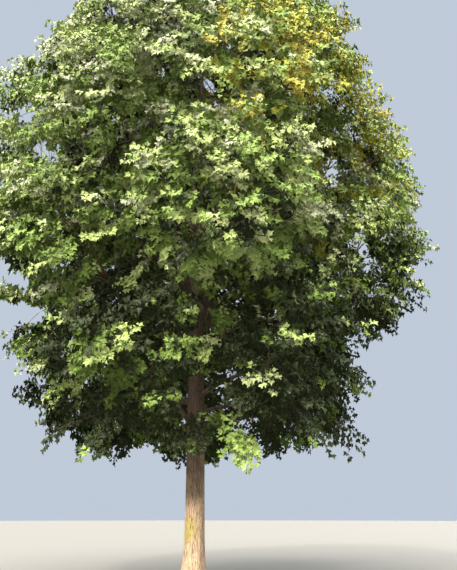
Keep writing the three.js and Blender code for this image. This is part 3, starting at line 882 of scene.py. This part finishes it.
def deal_tints(tips, outer, rng):
    """The tint of each spray, drawn by weights that depend on where its tip is. Low down, towards the lower
    right and in the hollows most leaves are painted dark as shade, but in the sunlit patches fresh and pale
    ones are painted as sunlight. Inside the crown most are dark, partly as real shade leaves and partly as
    painted shade, and lighter upwards. Towards the upper right yellow-green and golden ones come in, and
    towards the upper left pale and silvery ones, both for the leaves' pale undersides and as painted glints."""
    right = in_part(RIGHT_PART, tips)
    gold = in_part(GOLDEN_PART, tips)
    pale_and_glint = in_part(UPPER_LEFT_PALE_AND_GLINT_PART, tips)
    low = smoothstep(*LOW_PAINTED_SHADE_HEIGHTS, tips[:, 2])
    weights = np.tile([tint[3] for tint in LEAF_TINTS], (len(tips), 1))
    # Painted shade: low down and towards the lower right, the dark tints take over from the bright ones.
    weights[:, PAINTED_SHADE_TINT] += 1.4 * low + 2.0 * in_part(LOW_RIGHT_PAINTED_SHADE_PART, tips)
    weights[:, DEEP] += 0.35 * low
    weights[:, FRESH] *= 1 + 0.8 * right - 0.75 * low
    weights[:, YELLOW_GREEN] += 0.85 * gold + 0.04 * right
    # Towards the upper left, pale and silvery sprays stand both for the leaves' pale undersides and for
    # painted glints of the sun.
    weights[:, PALE] *= 1 + 2.0 * pale_and_glint - 0.8 * low
    weights[:, SILVERY] *= 1 + 5.0 * pale_and_glint - low
    weights[:, GOLDEN] += 0.40 * gold
    # Painted sunlight: in the sunlit patches the dark tints give way to fresh and pale ones.
    painted_sunlit = shows_in(PAINTED_SUNLIT_PATCHES, tips) & outer
    # Painted shade: in the hollows the darkest tint takes over.
    weights[:, PAINTED_SHADE_TINT] += 4.0 * (shows_in(PAINTED_SHADE_HOLLOWS, tips) & ~painted_sunlit)
    # Inside the crown the sprays take dark tints, partly as real shade leaves and partly as painted shade,
    # and lighter ones higher up.
    within = ~outer
    high = smoothstep(*INNER_SHADE_FADE_HEIGHTS, tips[within, 2])
    weights[within, MID:] *= 0.2 + 0.6 * high[:, None]
    weights[within, PAINTED_SHADE_TINT] += 0.9 - 0.7 * high + 1.8 * low[within]
    weights[within, DEEP] += 0.8
    weights[painted_sunlit, :MID] = 0
    weights[painted_sunlit, FRESH] += 0.8
    weights[painted_sunlit, PALE] += 0.2
    bounds = np.cumsum(weights / weights.sum(1, keepdims=True), axis=1)
    return (rng.random((len(tips), 1)) > bounds).sum(1).clip(0, len(LEAF_TINTS) - 1)


def leaf_material(name, tint, roughness):
    """A maple leaf's waxy skin: one even green of a spray's own, with a soft gloss that makes the leaves
    that face the sun glint."""
    material, _, shader = new_material(name, tint, roughness)
    shader.inputs["Specular IOR Level"].default_value = LEAF_GLOSS
    return material


leaf_materials = [leaf_material(name, tint, roughness) for name, tint, roughness, _ in LEAF_TINTS]


def build_leaves(mass, twigs, stem_number, stem_outer, rng):
    """The leafy piece of a mass, which stands for its solid. A stem's sprays share one tint, apart from
    every fourth spray or so, which has one of its own."""
    outer = stem_outer[stem_number]
    stem_tint = deal_tints(twigs[:, 3], outer, rng)
    first_twig = np.unique(stem_number, return_index=True)[1]
    shared = dict(zip(stem_number[first_twig], stem_tint[first_twig]))
    own = rng.random(len(twigs)) < OWN_TINTS
    tint = np.where(own, stem_tint, [shared[number] for number in stem_number])
    parts, tints = [], []
    for chosen, lobes, size in ((outer, OUTER_LOBES, OUTER_LEAF), (~outer, INNER_LOBES, INNER_LEAF)):
        points, faces = grow_leaves(twigs[chosen], lobes, size, rng)
        parts.append((points, faces))
        tints.append(np.repeat(tint[chosen], len(faces) // chosen.sum()))
    points, faces = join_parts(parts)
    piece = solid_piece("leaves_" + mass["name"], points, faces, leaf_materials, smooth=False)
    piece.data.polygons.foreach_set("material_index", np.concatenate(tints).astype(np.int32))
    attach(piece, "root")
    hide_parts("foliage_" + mass["name"])


for mass in masses:
    rng = np.random.default_rng([TREE_SEED, mass["index"]])
    build_leaves(mass, *build_branches(mass, rng), rng)


# Floor and light
# A plain pale floor. A warm sun and a wide soft box shine over the viewer's left shoulder, as the sun
# does in the photograph, and a veil without shadows lifts what they leave dark. A low spot lights the
# trunk's foot, a weak cool sun the far side, and a pale sky all of it.
FLOOR_RADIUS = 150.0
FLOOR_SIDES = 128
SUN_FROM = Vector((-0.42, -0.84, 0.9))
SOFT_FROM = Vector((-0.4, -0.8, 1.2))
FILL_FROM = Vector((0.75, 0.65, 0.5))
SPOT_FROM = Vector((-4.2, -8.4, 0.9))
SPOT_AT = Vector((-0.03, 0.0, 0.7))
SKY_GLOW = 3.6  # at the zenith
BACKDROP_GLOW = 0.9


def build_floor():
    """A flat disc at ground level: one centre point and a ring of points."""
    corner = np.arange(FLOOR_SIDES)
    angle = corner * 2 * np.pi / FLOOR_SIDES
    ring = np.stack([np.cos(angle), np.sin(angle), 0 * angle], -1) * FLOOR_RADIUS
    faces = np.stack([0 * corner, 1 + corner, 1 + (corner + 1) % FLOOR_SIDES], -1)
    floor_paint = new_material("pale floor", "#605f5d", roughness=0.9)[0]
    solid_piece("floor", np.concatenate([[(0, 0, 0)], ring]), faces, [floor_paint])


def add_lamp(name, kind, energy, colour, origin, aim=Vector(), **settings):
    """A lamp that shines from its origin to its aim, of which a sun takes the direction alone. settings
    are the light's own, such as its width."""
    light = bpy.data.lights.new(name, kind)
    for key, value in {"energy": energy, "color": linear(colour)[:3], **settings}.items():
        setattr(light, key, value)
    lamp = bpy.data.objects.new(name, light)
    lamp.location = origin
    lamp.rotation_euler = (origin - aim).to_track_quat("Z", "Y").to_euler()
    bpy.context.scene.collection.objects.link(lamp)


def pale_sky():
    """The world: a pale backdrop where the camera sees it, and for the tree a soft light that grows from the
    horizon to the zenith with the sine of the height above the horizon."""
    world = bpy.data.worlds.new("pale sky")
    world.use_nodes = True
    tree = world.node_tree
    seen = add_node(tree, "ShaderNodeLightPath").outputs["Is Camera Ray"]
    direction = add_node(tree, "ShaderNodeTexCoord").outputs["Generated"]
    height = add_node(tree, "ShaderNodeSeparateXYZ", Vector=direction).outputs["Z"]
    strength = add_node(tree, "ShaderNodeMapRange", {"interpolation_type": "SMOOTHSTEP"}, Value=height,
                        i1=0.0, i2=1.0, i3=0.0, i4=SKY_GLOW).outputs[0]
    glow = add_node(tree, "ShaderNodeBackground", Color=linear("#eef0ea"), Strength=strength)
    backdrop = add_node(tree, "ShaderNodeBackground", Color=linear("#c9d4e4"), Strength=BACKDROP_GLOW)
    either = add_node(tree, "ShaderNodeMixShader", i0=seen, i1=glow.outputs[0], i2=backdrop.outputs[0])
    tree.links.new(either.outputs[0], tree.nodes["World Output"].inputs["Surface"])
    bpy.context.scene.world = world


build_floor()
add_lamp("key sun", "SUN", 3.3, "#fff4e0", SUN_FROM, angle=math.radians(5))
add_lamp("veil", "SUN", 3.2, "#fff8ec", SOFT_FROM, angle=math.radians(60), use_shadow=False)
add_lamp("soft box", "SUN", 7.8, "#fff8ec", SOFT_FROM, angle=math.radians(60))
add_lamp("low spot", "SPOT", 4600.0, "#fff2e0", SPOT_FROM, SPOT_AT,
         spot_size=math.radians(16), spot_blend=0.5, shadow_soft_size=0.1)
add_lamp("fill sun", "SUN", 1.8, "#eef2ff", FILL_FROM, angle=math.radians(40))
pale_sky()
bpy.context.scene.view_settings.view_transform = "Standard"
bpy.context.scene.view_settings.look = "None"
